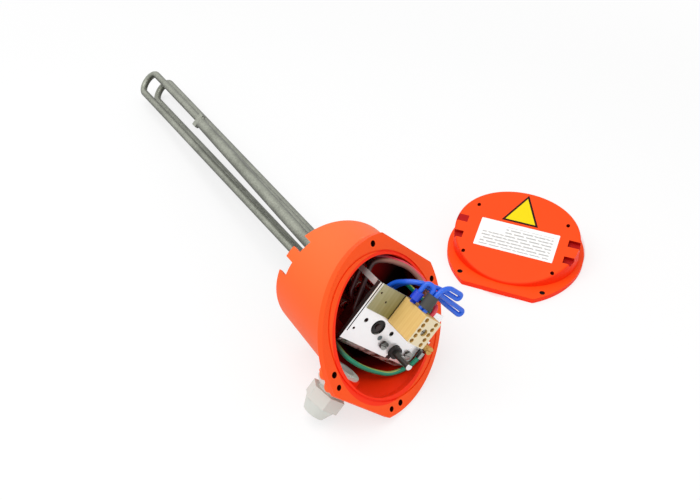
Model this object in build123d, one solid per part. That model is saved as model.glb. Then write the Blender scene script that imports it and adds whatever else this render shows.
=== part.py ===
"""Immersion heater for a water cylinder, lying down with its terminal cover taken off beside it.

Heater frame: origin on the rods' axis where the flange's middle is, +Z out of the housing mouth,
-Y along the cable gland.  Cover frame: origin in the middle of its flange, which lies on the table.
"""

import os
from math import acos, cos, radians, sin, sqrt, tan

from build123d import *

# Driving dimensions, in mm and degrees.
TILT = 30.0  # the housing's flange leans this much from square to the rods
FLANGE_T = 5.0  # thickness of both flanges
ARC_R = 78.6  # the outline is two arcs with flats across
ARC_X = 8.6
FLAT_V = 66.8
CORNER_R = 3.0
WALL = 3.0  # moulded wall of housing and cover
BODY_REAR = (59.0, 53.5)  # half widths of the housing behind
BODY_FRONT = (61.5, 56.5)
BODY_RISE = 2.0  # how far the front ellipse is shifted in Y
Z_RIM = -80.0  # end of the skirt
Z_WALL = -58.5  # inner face of the rear wall
Z_FRONT = 45.0
MOUTH_R = 57.0
GROOVE = (65.5, 60.0)
GROOVE_W = 1.6
FLANGE_HOLE_R = 2.6
BOSS_R = 5.0
BOSS_L = 6.0
HOLES_TOP = (39.5, 54.5)
HOLES_LOW = (41.0, -52.0)
HOLES_LOW_2 = (32.5, -59.5)

PLUG_R = 29.8  # outside of the two inch pipe thread
PLUG_AF = 70.0
SPIGOT_R = 24.0
PLUG_SCREW_R = 2.5
PLUG_SCREW_AT = 30.0
FIT = 0.05  # radial clearance of parts that are fixed in each other
RUN = 0.08  # radial clearance of parts that turn or slide

ROD_R = 4.0
ROD_X = (-6.0, 7.0)  # the two elements at the plug
ROD_TIP_X = (-10.7, 10.7)
ROD_Y = 10.0
ROD_TIP_Y = 13.2
ROD_TIP_Z = -551.0
ROD_KINK_Z = -112.0
ROD_END_Z = -46.0
POCKET_R = 5.5
POCKET_BORE = 4.7
POCKET_AT = (-15.5, 7.0)
POCKET_TIP = (-19.0, 13.0)
POCKET_TIP_Z = -373.0
PINCH_L = 11.0

PLATE_T = 1.5
PLATE_X = (-32.0, 50.0)
PLATE_Y = (-22.0, 31.0)
ARM_Y = 26.0  # the left arm goes from here to the plate's upper edge
LIP = 5.0  # the plate's lower edge is folded out by this much at 45 degrees
SHEET_T = 1.0
BLOCK_X = (-3.0, 17.0)
BLOCK_Y = (6.0, 31.0)
BLOCK_Z = 30.0
PIN_R = 1.9
SPINDLE_AT = (26.5, -14.0)
SPINDLE_R = 3.0
SPINDLE_TIP_Z = 23.0
RESET_AT = (-6.0, -2.0)
RESET_R = 2.5
RESET_STROKE = 1.5

GLAND_X = -7.7
GLAND_Z = 1.2
GLAND_AF = 28.0
GLAND_DOME = 10.5
SEAL_R = 5.0

LEAD_R = 2.0
SLEEVE_AT = (2.6, 18.2)  # X and Z of the grey sleeve's axis
SLEEVE_Y = (33.5, 45.5)
SLEEVE_WALL = 0.65
BUNDLE = 1.2 * LEAD_R  # from the sleeve's axis to each of its three leads

COVER_H = 30.0  # height of the cover's top above its flange middle
COVER_TILT = 22.0
COVER_ARC_R = 86.0  # the cover's flange is a little narrower than the housing's
COVER_ARC_X = 20.0
SLOT_V = (-3.0, -20.0)  # middles of the recesses at the sides of the top
SLOT_SIZE = (20.0, 7.4, 9.0)

# How the heater lies: heading, dip of the rods and roll, and where its origin is.
PSI = -60.5587
PHI = 4.8068
ROLL = 45.5
ORIGIN = (27.3471, -178.2645, 65.8542)
COVER_AT = (163.4, -3.2)
COVER_TURN = -23.0

PARTS = {}
LAST = {}


def largest(shape):
    """The biggest solid of a cut, without slivers."""
    solids = sorted(shape.solids(), key=lambda k: k.volume)
    if len(solids) > 1:
        print("slivers", [round(k.volume, 3) for k in solids[:-1]])
    return Part(Compound([solids[-1]]).wrapped)


def z_ellipse(a, b, z, y=0.0):
    return Plane((0, y, z)) * Ellipse(a, b)


def body_loft(inset, z0, z1):
    """The housing's tapering oval between two stations, set in from its outside."""
    rings = []
    for z in (z0, z1):
        k = (z - Z_RIM) / (Z_FRONT - Z_RIM)
        a = BODY_REAR[0] + (BODY_FRONT[0] - BODY_REAR[0]) * k - inset
        b = BODY_REAR[1] + (BODY_FRONT[1] - BODY_REAR[1]) * k - inset
        rings.append(z_ellipse(a, b, z, BODY_RISE * k))
    return loft(rings)


def flange_plane():
    t = radians(TILT)
    return Plane(origin=(0, BODY_RISE, 0), x_dir=(1, 0, 0), z_dir=(0, sin(t), cos(t)))


def flange_outline(arc_r=ARC_R, arc_x=ARC_X):
    arcs = Pos(-arc_x, 0) * Circle(arc_r) & Pos(arc_x, 0) * Circle(arc_r)
    shape = arcs & Rectangle(300, 2 * FLAT_V)
    return fillet(shape.vertices(), CORNER_R)


def box(x0, x1, y0, y1, z0, z1):
    b = Box(x1 - x0, y1 - y0, z1 - z0)
    return Pos((x0 + x1) / 2, (y0 + y1) / 2, (z0 + z1) / 2) * b


def rod(x, y, z0, z1, r):
    return Pos(x, y, (z0 + z1) / 2) * Cylinder(r, abs(z1 - z0))


def rod_y(x, z, y0, y1, r):
    return Pos(x, (y0 + y1) / 2, z) * Rot(90, 0, 0) * Cylinder(r, abs(y1 - y0))


def hexagon(af, z0, z1, turn=0.0):
    hexa = RegularPolygon(af / 2, 6, major_radius=False, rotation=turn)
    return Pos(0, 0, z0) * extrude(hexa, z1 - z0)


def tube_radii(points):
    """Bend radius at each inner corner: 0.45 of the shorter run over tan of half the turn."""
    radii = []
    for a, b, c in zip(points, points[1:], points[2:]):
        u = [q - p for p, q in zip(a, b)]
        v = [q - p for p, q in zip(b, c)]
        lu = sqrt(sum(k * k for k in u))
        lv = sqrt(sum(k * k for k in v))
        dot = sum(p * q for p, q in zip(u, v)) / lu / lv
        turn = acos(max(-1.0, min(1.0, dot)))
        radii.append(0.45 * min(lu, lv) / tan(turn / 2))
    return radii


def tube(name, points, r, radii=None):
    """A round tube along straight runs joined by tangent arcs."""
    radii = radii or tube_radii(points)
    print(name, "bend radii", [round(k, 1) for k in radii])
    if len(points) == 2:
        path = Line(points[0], points[1])
    else:
        path = FilletPolyline(*points, radius=radii)
    start = Plane(origin=path @ 0, z_dir=path % 0)
    LAST[name] = (path @ 1, path % 1)
    return sweep(start * Circle(r), path=path)


# The moulded housing.
front = flange_plane()
ahead = front.location * Pos(0, 0, 150) * Box(400, 400, 300)
housing = body_loft(0, Z_RIM, Z_FRONT) - ahead
flange = extrude(front * flange_outline(), amount=-FLANGE_T)
gland_boss = rod_y(GLAND_X, GLAND_Z, -57.0, -40.0, 17.0)
housing = housing + flange + gland_boss
for x, v in (HOLES_TOP, HOLES_LOW, HOLES_LOW_2):
    for s in (-1, 1):
        housing += front.location * Pos(s * x, v, -FLANGE_T - BOSS_L / 2) * Cylinder(BOSS_R, BOSS_L)
beyond_flange = front.location * Pos(0, 0, 150 - FLANGE_T) * Box(400, 400, 300)
housing -= body_loft(WALL, Z_WALL, Z_FRONT) - beyond_flange
housing -= extrude(front * Circle(MOUTH_R), amount=-FLANGE_T - 2)
housing -= body_loft(WALL, Z_RIM, Z_WALL - WALL)
groove = Ellipse(*GROOVE) - Ellipse(GROOVE[0] - GROOVE_W, GROOVE[1] - GROOVE_W)
housing -= extrude(front * groove, amount=-1.2)
inner_seat = rod_y(GLAND_X, GLAND_Z, -52.0, -46.5, 15.0) & body_loft(WALL, Z_WALL, Z_FRONT)
housing += inner_seat
housing -= rod_y(GLAND_X, GLAND_Z, -60.0, -40.0, 10.2)
housing -= rod(0, 0, Z_WALL - WALL - 1, Z_WALL + 1, SPIGOT_R + FIT)
for x, v in (HOLES_TOP, HOLES_LOW, HOLES_LOW_2):
    for s in (-1, 1):
        hole_r = FLANGE_HOLE_R if (x, v) != HOLES_LOW_2 else FLANGE_HOLE_R - 0.25
        deep = FLANGE_T + BOSS_L - 1.5
        housing -= front.location * Pos(s * x, v, 1 - deep / 2) * Cylinder(hole_r, deep + 2)
for s in (-1, 1):
    housing -= box(s * 56 - 8, s * 56 + 8, -16.5, -4.1, Z_RIM - 1, Z_RIM + 11)
    housing -= box(s * 56 - 8, s * 56 + 8, 6.1, 17.8, Z_RIM - 1, Z_RIM + 11)
plug_screw_at = []
for k in (90, 210, 330):
    plug_screw_at.append((PLUG_SCREW_AT * cos(radians(k)), PLUG_SCREW_AT * sin(radians(k))))
for x, y in plug_screw_at:
    housing -= rod(x, y, Z_WALL - WALL - 1, Z_WALL + 1, PLUG_SCREW_R + 0.2)
FOOT_SCREWS = ((-28.5, 26.0), (43.5, 15.0))
for x, y in FOOT_SCREWS:
    housing -= rod(x, y, Z_WALL - WALL - 1, Z_WALL + 1, 1.9)
PARTS["housing"] = largest(housing)

# The screw plug with its seal and screws.
z_hex = (-74.0, Z_WALL - WALL)
plug = hexagon(PLUG_AF, z_hex[0], z_hex[1], 30.0)
plug += rod(0, 0, -98.0, -76.0, PLUG_R)
plug += rod(0, 0, -76.5, z_hex[0], PLUG_R - 1.6)
plug += rod(0, 0, z_hex[1], -56.5, SPIGOT_R)
plug = chamfer(plug.edges().group_by(Axis.Z)[0], 1.5)
for i, x in enumerate(ROD_X):
    for s in (-1, 1):
        plug -= rod(x, s * ROD_Y, -99, -55, ROD_R + FIT)
plug -= rod(POCKET_AT[0], POCKET_AT[1], -99, -55, POCKET_R + FIT)
for x, y in plug_screw_at:
    plug -= rod(x, y, -72.0, z_hex[1] + 1, PLUG_SCREW_R + FIT)
EARTH_STUDS = ((-14.0, -14.0), (15.0, 15.0))
for x, y in EARTH_STUDS:
    plug -= rod(x, y, -66.0, -55, 2.0 + FIT)
PARTS["screw_plug"] = plug
PARTS["plug_gasket"] = rod(0, 0, -76.0, -74.0, 35.0) - rod(0, 0, -77, -73, PLUG_R + 0.2)
screws = []
for x, y in plug_screw_at:
    screws.append(rod(x, y, -71.5, Z_WALL, PLUG_SCREW_R) + rod(x, y, Z_WALL, Z_WALL + 3, 4.2)
                  - rod(x, y, Z_WALL + 1.2, Z_WALL + 3.5, 1.6))
PARTS["plug_screws"] = Compound(children=screws)
studs = []
for x, y in EARTH_STUDS:
    studs.append(rod(x, y, -65.5, -56.5, 2.0) + rod(x, y, -56.5, -53.5, 3.6) + rod(x, y, -53.5, -50.0, 2.0))
PARTS["earth_studs"] = Compound(children=studs)

# Two hairpin heating elements.
for i in (0, 1):
    x, xt = ROD_X[i], ROD_TIP_X[i]
    pts = [(x, -ROD_Y, ROD_END_Z), (x, -ROD_Y, ROD_KINK_Z), (xt, -ROD_TIP_Y, ROD_TIP_Z),
           (xt, ROD_TIP_Y, ROD_TIP_Z), (x, ROD_Y, ROD_KINK_Z), (x, ROD_Y, ROD_END_Z)]
    bends = tube_radii(pts)
    bends[0] = bends[-1] = 600.0
    bends[1] = bends[2] = 12.8
    PARTS["heating_element_%d" % (i + 1)] = tube("heating_element_%d" % (i + 1), pts, ROD_R, bends)
beads, posts = [], []
for x in ROD_X:
    for s in (-1, 1):
        beads.append(rod(x, s * ROD_Y, ROD_END_Z, -43.0, 3.4) - rod(x, s * ROD_Y, -47, -42, 1.5 + FIT))
        posts.append(rod(x, s * ROD_Y, ROD_END_Z, -36.0, 1.5) + rod(x, s * ROD_Y, -41.8, -39.4, 3.0))
PARTS["terminal_insulators"] = Compound(children=beads)
PARTS["terminal_studs"] = Compound(children=posts)
bars = []
for s in (-1, 1):
    bar = box(ROD_X[0] - 4, ROD_X[1] + 4, s * ROD_Y - 3.5, s * ROD_Y + 3.5, -43.0, -41.8)
    for x in ROD_X:
        bar -= rod(x, s * ROD_Y, -44, -41, 1.5 + FIT)
    bars.append(bar)
PARTS["link_bars"] = Compound(children=bars)

# Probe pocket with the two sensing bulbs in it.
px, py = POCKET_AT
tx, ty = POCKET_TIP
pocket_pts = [(px, py, -54.0), (px, py, ROD_KINK_Z), (tx, ty, POCKET_TIP_Z)]
pocket = tube("probe_pocket", pocket_pts, POCKET_R, [400.0])
end, way = LAST["probe_pocket"]
bore_pts = [(px, py, -53.0), (px, py, ROD_KINK_Z), (tx, ty, POCKET_TIP_Z)]
bore = tube("pocket_bore", bore_pts, POCKET_BORE, [400.0])
cap_plane = Plane(origin=end, x_dir=(0, 1, 0), z_dir=way)
cap = cap_plane * Circle(POCKET_R)
pinch = loft([cap, cap_plane.offset(5.0) * Ellipse(7.6, 2.2)])
flat = extrude(cap_plane.offset(5.0) * Rectangle(15.2, 4.0), amount=PINCH_L - 3)
stop = extrude(cap_plane.offset(-3.0) * Circle(POCKET_R), amount=3.0)
PARTS["probe_pocket"] = (pocket - bore) + stop + pinch + flat
for name, off, z_top, ends in (
    ("regulator_bulb", -2.25, -300.0, ((26.0, 2.0, -33.0), (26.0, 2.0, -29.5))),
    ("cutout_bulb", 2.25, -290.0, ((px + 2.25, -6.0, -33.0), (px + 2.25, -6.0, -29.5))),
):
    kx = (tx - px) / (POCKET_TIP_Z - ROD_KINK_Z)
    ky = (ty - py) / (POCKET_TIP_Z - ROD_KINK_Z)

    def along(z):
        return (px + kx * (z - ROD_KINK_Z) + off, py + ky * (z - ROD_KINK_Z), z)

    bulb = tube(name + "_body", [along(POCKET_TIP_Z + 5), along(z_top)], 2.2)
    up = [along(z_top - 1), (px + off, py, ROD_KINK_Z), (px + off, py, -33.0), *ends]
    bends = tube_radii(up)
    bends[0] = 400.0
    bends[1] = min(bends[1], 3.5)
    PARTS[name] = bulb + tube(name, up, 0.6, bends)

# Bracket plate with its folded edges and two legs to the rear wall.
bracket = box(PLATE_X[0], PLATE_X[1], PLATE_Y[0], PLATE_Y[1], -PLATE_T, 0)
bracket += box(-35.2, PLATE_X[0], PLATE_Y[0], -15.0, -PLATE_T, 0)
bracket += box(-35.2, -33.7, PLATE_Y[0], PLATE_Y[1], -3.5, 0.6)
bracket += box(-35.2, -33.7, ARM_Y, PLATE_Y[1], Z_WALL, 0)
bracket += box(-35.2, -23.5, 20.0, PLATE_Y[1], Z_WALL, Z_WALL + PLATE_T)
lip = Plane((PLATE_X[0], 0, 0), x_dir=(0, 1, 0), z_dir=(1, 0, 0)) * Polygon(
    (PLATE_Y[0] + 0.6, 0), (PLATE_Y[0], 0), (PLATE_Y[0] - LIP, -LIP), (PLATE_Y[0] - LIP + 1.06, -LIP - 1.06),
    (PLATE_Y[0] + 0.6, -PLATE_T), align=None)
bracket += extrude(lip, amount=44.0 - PLATE_X[0])
bracket += box(PLATE_X[1] - PLATE_T, PLATE_X[1], 10.0, 20.0, Z_WALL, 0)
bracket += box(38.5, PLATE_X[1], 10.0, 20.0, Z_WALL, Z_WALL + PLATE_T)
bracket += box(PLATE_X[1] - 1, 56.0, -3.5, 6.5, -PLATE_T, 0)
EARTH_AT = (52.0, 1.5)
PLATE_HOLES = ((-22.0, -1.0, 2.0), (-28.0, -11.0, 1.2), (RESET_AT[0], RESET_AT[1], 6.8), (11.0, -2.0, 2.2),
               (SPINDLE_AT[0], SPINDLE_AT[1], 6.0), (-27.5, 24.0, 1.2), (-17.5, 19.0, 1.2))
for x, y, r in PLATE_HOLES:
    bracket -= rod(x, y, -3, 1, r)
REG_SCREWS = ((11.0, -13.0), (42.0, -12.0))
BLOCK_SCREW = (6.3, 18.4)
for x, y in REG_SCREWS:
    bracket -= rod(x, y, -3, 1, 2.0 + 0.1)
bracket -= rod(BLOCK_SCREW[0], BLOCK_SCREW[1], -3, 1, 1.75 + FIT)
bracket -= rod(EARTH_AT[0], EARTH_AT[1], -3, 1, 2.0 + FIT)
for x, y in FOOT_SCREWS:
    bracket -= rod(x, y, Z_WALL - 1, Z_WALL + 3, 2.0 + 0.1)
PARTS["bracket"] = bracket
screws = []
for x, y in FOOT_SCREWS:
    top = Z_WALL + PLATE_T
    screws.append(rod(x, y, top, top + 2.6, 3.6) + rod(x, y, Z_WALL - 2.4, top, 1.85)
                  - box(x - 4, x + 4, y - 0.5, y + 0.5, top + 1.6, top + 3))
PARTS["bracket_screws"] = Compound(children=screws)

# What stands on the plate: an insulating sheet, the terminal block and its screws.
sheet = box(-30.0, BLOCK_X[1], 8.0, BLOCK_Y[1], 0, SHEET_T)
for x, y in ((-27.5, 24.0), (-17.5, 19.0)):
    sheet -= rod(x, y, -1, 2, 1.1)
sheet -= rod(BLOCK_SCREW[0], BLOCK_SCREW[1], -1, 2, 1.75 + FIT)
PARTS["insulating_sheet"] = sheet
block = box(BLOCK_X[0], BLOCK_X[1], BLOCK_Y[0], BLOCK_Y[1], SHEET_T, BLOCK_Z)
block = fillet(block.edges().filter_by(Axis.Z), 1.0)
block -= box(BLOCK_X[0] - 1, BLOCK_X[1] + 1, BLOCK_Y[0] - 1, 7.9, 0, 1.0)
TERMINAL_Y = [8.6 + 4.9 * k for k in range(5)]
pins = []
for x in (0.4, 12.2):
    for y in TERMINAL_Y:
        block -= rod(x, y, BLOCK_Z - 6.5, BLOCK_Z + 1, PIN_R + FIT)
        pins.append(rod(x, y, BLOCK_Z - 6.5, BLOCK_Z - 4.5, PIN_R)
                    - box(x - 2, x + 2, y - 0.3, y + 0.3, BLOCK_Z - 5.2, BLOCK_Z))
block -= rod(BLOCK_SCREW[0], BLOCK_SCREW[1], BLOCK_Z - 4.0, BLOCK_Z + 1, 3.2)
block -= rod(BLOCK_SCREW[0], BLOCK_SCREW[1], 0, BLOCK_Z, 1.75 + FIT)
sx, sz = SLEEVE_AT
BLUE_PORTS = [(sx + BUNDLE * cos(radians(k)), sz + BUNDLE * sin(radians(k))) for k in (90, 210, 330)]
RED_PORT = (12.0, 20.5)
BROWN_PORT = (9.5, 12.0)
EARTH_PORT = (14.2, 13.5)
block -= rod_y(sx, sz, BLOCK_Y[1] - 3.0, BLOCK_Y[1] + 2, BUNDLE + LEAD_R + FIT)
for x, z in [RED_PORT, BROWN_PORT, EARTH_PORT]:
    block -= rod_y(x, z, BLOCK_Y[1] - 3.0, BLOCK_Y[1] + 2, LEAD_R + FIT)
PARTS["terminal_block"] = block
PARTS["block_terminals"] = Compound(children=pins)
x, y = BLOCK_SCREW
PARTS["block_screw"] = (rod(x, y, -PLATE_T - 1.5, BLOCK_Z - 4.0, 1.75)
                        + rod(x, y, BLOCK_Z - 4.0, BLOCK_Z - 1.6, 3.0)
                        - box(x - 4, x + 4, y - 0.45, y + 0.45, BLOCK_Z - 2.7, BLOCK_Z))

# Temperature regulator behind the plate, with its control spindle.
x, y = SPINDLE_AT
reg = box(8.7, 45.2, -21.5, 4.5, -28.0, -PLATE_T)
reg += rod(x, y, -PLATE_T, 3.5, 5.6)
reg -= rod(x, y, -29, 4, SPINDLE_R + RUN)
reg -= rod(x, y, -29, -10.0, 7.0)
for u, v in REG_SCREWS:
    reg -= rod(u, v, -9.5, 0, 2.0 + FIT)
PARTS["regulator_body"] = reg
PARTS["regulator_lid"] = box(8.7, 45.2, -21.5, 4.5, -29.5, -28.0)
spindle = rod(x, y, -26.0, SPINDLE_TIP_Z, SPINDLE_R) + rod(x, y, -13.0, -10.0 - RUN, 6.4)
spindle = chamfer(spindle.edges().group_by(Axis.Z)[-1], 0.4)
spindle -= box(x - 4, x + 4, y + 1.9, y + 4, 11.0, SPINDLE_TIP_Z + 1)
PARTS["control_spindle"] = spindle
screws = []
for u, v in REG_SCREWS:
    driver = box(u - 4, u + 4, v - 0.5, v + 0.5, 1.3, 3)
    screws.append(rod(u, v, 0, 2.4, 3.7) + rod(u, v, -9.0, 0, 2.0) - driver)
PARTS["regulator_screws"] = Compound(children=screws)

# Safety cut-out behind the plate, with its reset button.
x, y = RESET_AT
cut = box(-19.0, 7.5, -18.0, 14.0, -28.0, -PLATE_T)
cut += rod(x, y, -PLATE_T, -0.8, 4.6)
cut -= rod(x, y, -29, 1, RESET_R + RUN)
cut -= rod(x, y, -29, -12.0, 6.0)
POSTS = [(-22.0, -1.0), (11.0, -2.0)]
BLUE_CUT = [(-4.0, -16.0), (-9.5, -16.0)]
for u, z in BLUE_CUT:
    cut -= rod_y(u, z, 11.0, 15.0, LEAD_R + FIT)
RED_CUT = (4.0, -24.0)
BROWN_CUT = (-4.0, -14.0)
for v, z in (RED_CUT, BROWN_CUT):
    cut -= Pos(-19.0, v, z) * Rot(0, 90, 0) * Cylinder(LEAD_R + FIT, 6.0)
PARTS["cutout_body"] = cut
PARTS["cutout_lid"] = box(-19.0, 7.5, -18.0, 14.0, -29.5, -28.0)
PARTS["reset_button"] = rod(x, y, -16.0, 0.6, RESET_R) + rod(x, y, -15.0, -12.0 - RUN, 5.0)

# Earth screw on the plate's ear.
x, y = EARTH_AT
EARTH_TOP = 8.6
PARTS["earth_screw"] = (rod(x, y, -6.0, 1.0, 2.0) + rod(x, y, 1.0, EARTH_TOP, 3.6)
                        - box(x - 4, x + 4, y - 0.5, y + 0.5, EARTH_TOP - 1.4, EARTH_TOP + 1))
barrel_r = LEAD_R + 0.8
lug = rod(x, y, 0, 1.0, 4.0) + box(x - 1.6, x + 1.6, y - 6, y, 0, 1.0)
lug = lug - rod(x, y, -1, 2, 2.0 + FIT)
lug = lug + rod_y(x, barrel_r, y - 11.0, y - 4.8, barrel_r)
lug -= rod_y(x, barrel_r, y - 11.5, y - 6.5, LEAD_R + FIT)
PARTS["earth_lug"] = lug

# Cable gland through the housing's lower side.
def gland(y0, y1, r):
    return rod_y(GLAND_X, GLAND_Z, y0, y1, r)


def gland_hex(y0, y1, af, turn=0.0):
    solid = hexagon(af, 0, abs(y1 - y0), turn)
    return Pos(GLAND_X, max(y0, y1), GLAND_Z) * Rot(90, 0, 0) * solid


body = gland(-74.0, -44.0, 10.0) + gland_hex(-62.0, -57.0, GLAND_AF)
body -= gland(-75, -40, 7.5)
PARTS["gland_body"] = body
PARTS["gland_locknut"] = gland(-46.5, -44.6, 13.0) - gland(-47, -42, 10.0 + FIT)
PARTS["gland_seal"] = gland(-74.0, -64.0, 7.5 - FIT) + gland(-78.0, -74.0, 9.8) - gland(-79, -60, SEAL_R)
nut = gland_hex(-78.0, -66.5, GLAND_AF)
dome = Pos(GLAND_X, -78.0, GLAND_Z) * Rot(90, 0, 0) * extrude(Circle(GLAND_AF / 2), GLAND_DOME, taper=24)
nut = nut + dome - gland(-78.0, -66.0, 10.0 + FIT) - gland(-90, -77, 6.2)
PARTS["gland_nut"] = nut

# Leads, each held at both ends.
x0, x1, x2 = BLUE_PORTS
y_in = BLOCK_Y[1] - 3.0
y_out = SLEEVE_Y[1]
LEADS = {
    "lead_blue_1": [(x0[0], y_in, x0[1]), (x0[0], y_out + 11.9, x0[1]), (26.0, y_out + 11.9, 20.5),
                    (26.0, y_out + 7.1, 20.3), (8.5, y_out + 6.8, 15.0), (-8.0, 45.5, 3.0),
                    (-9.5, 31.0, -16.0),
                    (-9.5, 11.0, -16.0)],
    "lead_blue_2": [(x2[0], y_in, x2[1]), (x2[0], y_out + 3.2, x2[1]), (42.0, 46.5, 18.5), (42.0, 41.7, 18.0),
                    (24.0, 43.2, 10.5), (12.0, 46.6, 2.0), (-3.0, 43.2, -4.0), (-4.0, 30.0, -16.0),
                    (-4.0, 11.0, -16.0)],
    "lead_blue_3": [(x1[0], y_in, x1[1]), (x1[0], y_out + 5.4, x1[1]), (-5.0, y_out + 5.4, 11.0),
                    (-5.0, 39.0, 11.0)],
    "lead_red": [(-16.0, RED_CUT[0], RED_CUT[1]), (-29.5, RED_CUT[0], RED_CUT[1]), (-29.5, 37.0, -37.0),
                 (-14.0, 44.5, -33.0), (4.0, 49.0, -26.0), (17.0, 47.0, -14.5), (19.0, 42.5, -4.0),
                 (15.5, 39.5, 8.0), (12.0, 38.5, 20.5), (12.0, y_in, 20.5)],
    "lead_brown": [(-16.0, BROWN_CUT[0], BROWN_CUT[1]), (-25.0, BROWN_CUT[0], BROWN_CUT[1]),
                   (-25.0, 36.0, -31.0), (-16.0, 44.0, -27.0), (1.0, 48.8, -20.0), (12.5, 46.0, -10.0),
                   (13.0, 40.5, 3.0), (9.5, 37.0, 12.0), (9.5, y_in, 12.0)],
    "lead_earth_1": [(EARTH_AT[0], EARTH_AT[1] - 6.5, barrel_r), (EARTH_AT[0], -12.5, barrel_r),
                     (49.0, -20.0, 2.9), (43.5, -28.0, 2.0), (36.0, -33.5, 1.5), (22.4, -36.8, 0.0),
                     (6.9, -38.0, -1.0), (-11.0, -36.5, -3.0), (-20.0, -33.0, -12.0), (-24.0, -26.0, -38.0),
                     (-14.0, -14.0, -43.0), (-14.0, -14.0, -50.0)],
    "lead_earth_2": [(EARTH_PORT[0], y_in, EARTH_PORT[1]), (EARTH_PORT[0], 34.2, EARTH_PORT[1]),
                     (22.0, 34.2, EARTH_PORT[1]), (22.0, 34.2, -40.0), (15.0, 15.0, -40.0),
                     (15.0, 15.0, -50.0)],
}
for name, pts in LEADS.items():
    bends = tube_radii(pts)
    if name in ("lead_blue_1", "lead_blue_2", "lead_blue_3"):
        bends[0] = min(bends[0], pts[1][1] - y_out - 0.3)
    PARTS[name] = tube(name, pts, LEAD_R, bends)
sleeve_bore = BUNDLE + LEAD_R + FIT
sleeve = rod_y(sx, sz, *SLEEVE_Y, sleeve_bore + SLEEVE_WALL)
PARTS["lead_sleeve"] = sleeve - rod_y(sx, sz, 33.0, 48.0, sleeve_bore)
crimp = rod_y(-5.0, 11.0, 34.0, 41.5, 4.2) - rod_y(-5.0, 11.0, 39.0, 44.0, LEAD_R + FIT)
crimp = crimp + box(-7.5, -1.0, 31.0, 34.5, 10.6, 11.4)
PARTS["crimp_terminal"] = crimp

# The cover, lying on its flange.
def cover_loft(inset, h0, h1):
    rings = []
    for h in (h0, h1):
        k = h / 43.0
        rings.append(Plane((0, -6.0 * k, h)) * Ellipse(61.5 - 1.0 * k - inset, 57.0 - 11.0 * k - inset))
    return loft(rings)


t = radians(COVER_TILT)
top_dir = (0, -sin(t), cos(t))
top_plane = Plane(origin=(0, 0, COVER_H), x_dir=(1, 0, 0), z_dir=top_dir)
above = top_plane.location * Pos(0, 0, 100) * Box(300, 300, 200)
dome = cover_loft(0, 0, 60) - above
pockets = []
for s in (-1, 1):
    for v in SLOT_V:
        at = top_plane.location * Pos(s * 59.5, v / cos(t), 0)
        dome = largest(dome - at * Box(*SLOT_SIZE))
        pockets.append(at * Box(*[k + 2 * WALL for k in SLOT_SIZE]))
        print("slot", s, v, dome.volume)


def on_top(e):
    return abs((e.center() - Vector(0, 0, COVER_H)).dot(Vector(*top_dir))) < 0.5


rim = [e for e in dome.edges() if on_top(e) and e.length > 25]
print("rim edges", [round(e.length, 1) for e in rim])
for rim_r in (2.5, 2.2, 1.9, 1.6, 1.2):
    try:
        dome = fillet(rim, rim_r)
        print("filleted", rim_r, dome.volume)
        break
    except Exception as err:
        print("no fillet", rim_r)
for s in (-1, 1):
    for x, v in ((44.4, 14.6), (43.4, -35.9)):
        dome = largest(dome - Pos(s * x, v, 35) * Cylinder(1.8, 50))
        print("top hole", s * x, v, dome.volume)
inside = cover_loft(WALL, -1, 60) - (top_plane.location * Pos(0, 0, 100 - WALL) * Box(300, 300, 200))
inside = largest(inside)
for pocket in pockets:
    inside = largest(inside - pocket)
dome = largest(dome - inside)
print("shell", dome.volume)
plate = extrude(flange_outline(COVER_ARC_R, COVER_ARC_X), FLANGE_T)
for s in (-1, 1):
    for x, v in (HOLES_TOP, (40.0, -54.7)):
        plate = largest(plate - Pos(s * x, v, 0) * Cylinder(FLANGE_HOLE_R, 20))
plate = largest(plate - cover_loft(WALL, -1, 10))
print("plate", plate.volume)
cover = largest(plate + dome)
PARTS["cover"] = cover

# Place everything, then move it so that the middle of its base is the origin.
psi, phi, om = radians(PSI), radians(PHI), radians(ROLL)
axis = Vector(cos(psi) * cos(phi), sin(psi) * cos(phi), sin(phi))
level = axis.cross(Vector(0, 0, 1)).normalized()
upper = level.cross(axis)
side = level * cos(om) + upper * sin(om)
place = Plane(origin=ORIGIN, x_dir=side * -1, z_dir=axis).location
cover_place = Location((COVER_AT[0], COVER_AT[1], 0), (0, 0, COVER_TURN))
placed = {}
for name, shape in PARTS.items():
    placed[name] = (cover_place if name == "cover" else place) * shape
low = [1e9] * 3
high = [-1e9] * 3
for name, shape in placed.items():
    bb = shape.bounding_box()
    for i, (lo, hi) in enumerate(zip(bb.min.to_tuple(), bb.max.to_tuple())):
        low[i] = min(low[i], lo)
        high[i] = max(high[i], hi)
shift = (-(low[0] + high[0]) / 2, -(low[1] + high[1]) / 2, -low[2])
print("bounds", [round(k, 2) for k in low], [round(k, 2) for k in high])
print("shift", [round(k, 3) for k in shift])
move = Location(shift)
os.makedirs("parts", exist_ok=True)
for name, shape in placed.items():
    out = move * shape
    solids = out.solids()
    bad = [s for s in solids if not s.is_valid or s.volume <= 0]
    total = round(sum(s.volume for s in solids), 1)
    print(name, "solids", len(solids), "volume", total, "BAD" if bad else "")
    export_step(out, "parts/%s.step" % name)


def report(name, local, way=None):
    p = move * place * Pos(*local)
    q = p.position
    text = [round(k, 3) for k in (q.X, q.Y, q.Z)]
    if way:
        d = (place * Pos(*way)).position - place.position
        text.append([round(k, 5) for k in (d.X, d.Y, d.Z)])
    print(name, text)


report("thread", (0, 0, -87), (0, 0, -1))
report("gland_bore", (GLAND_X, -71, GLAND_Z), (0, -1, 0))
report("spindle", (SPINDLE_AT[0], SPINDLE_AT[1], 0), (0, 0, 1))
report("reset", (RESET_AT[0], RESET_AT[1], 0), (0, 0, -1))
report("heater_origin", (0, 0, 0), (1, 0, 0))
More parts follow.
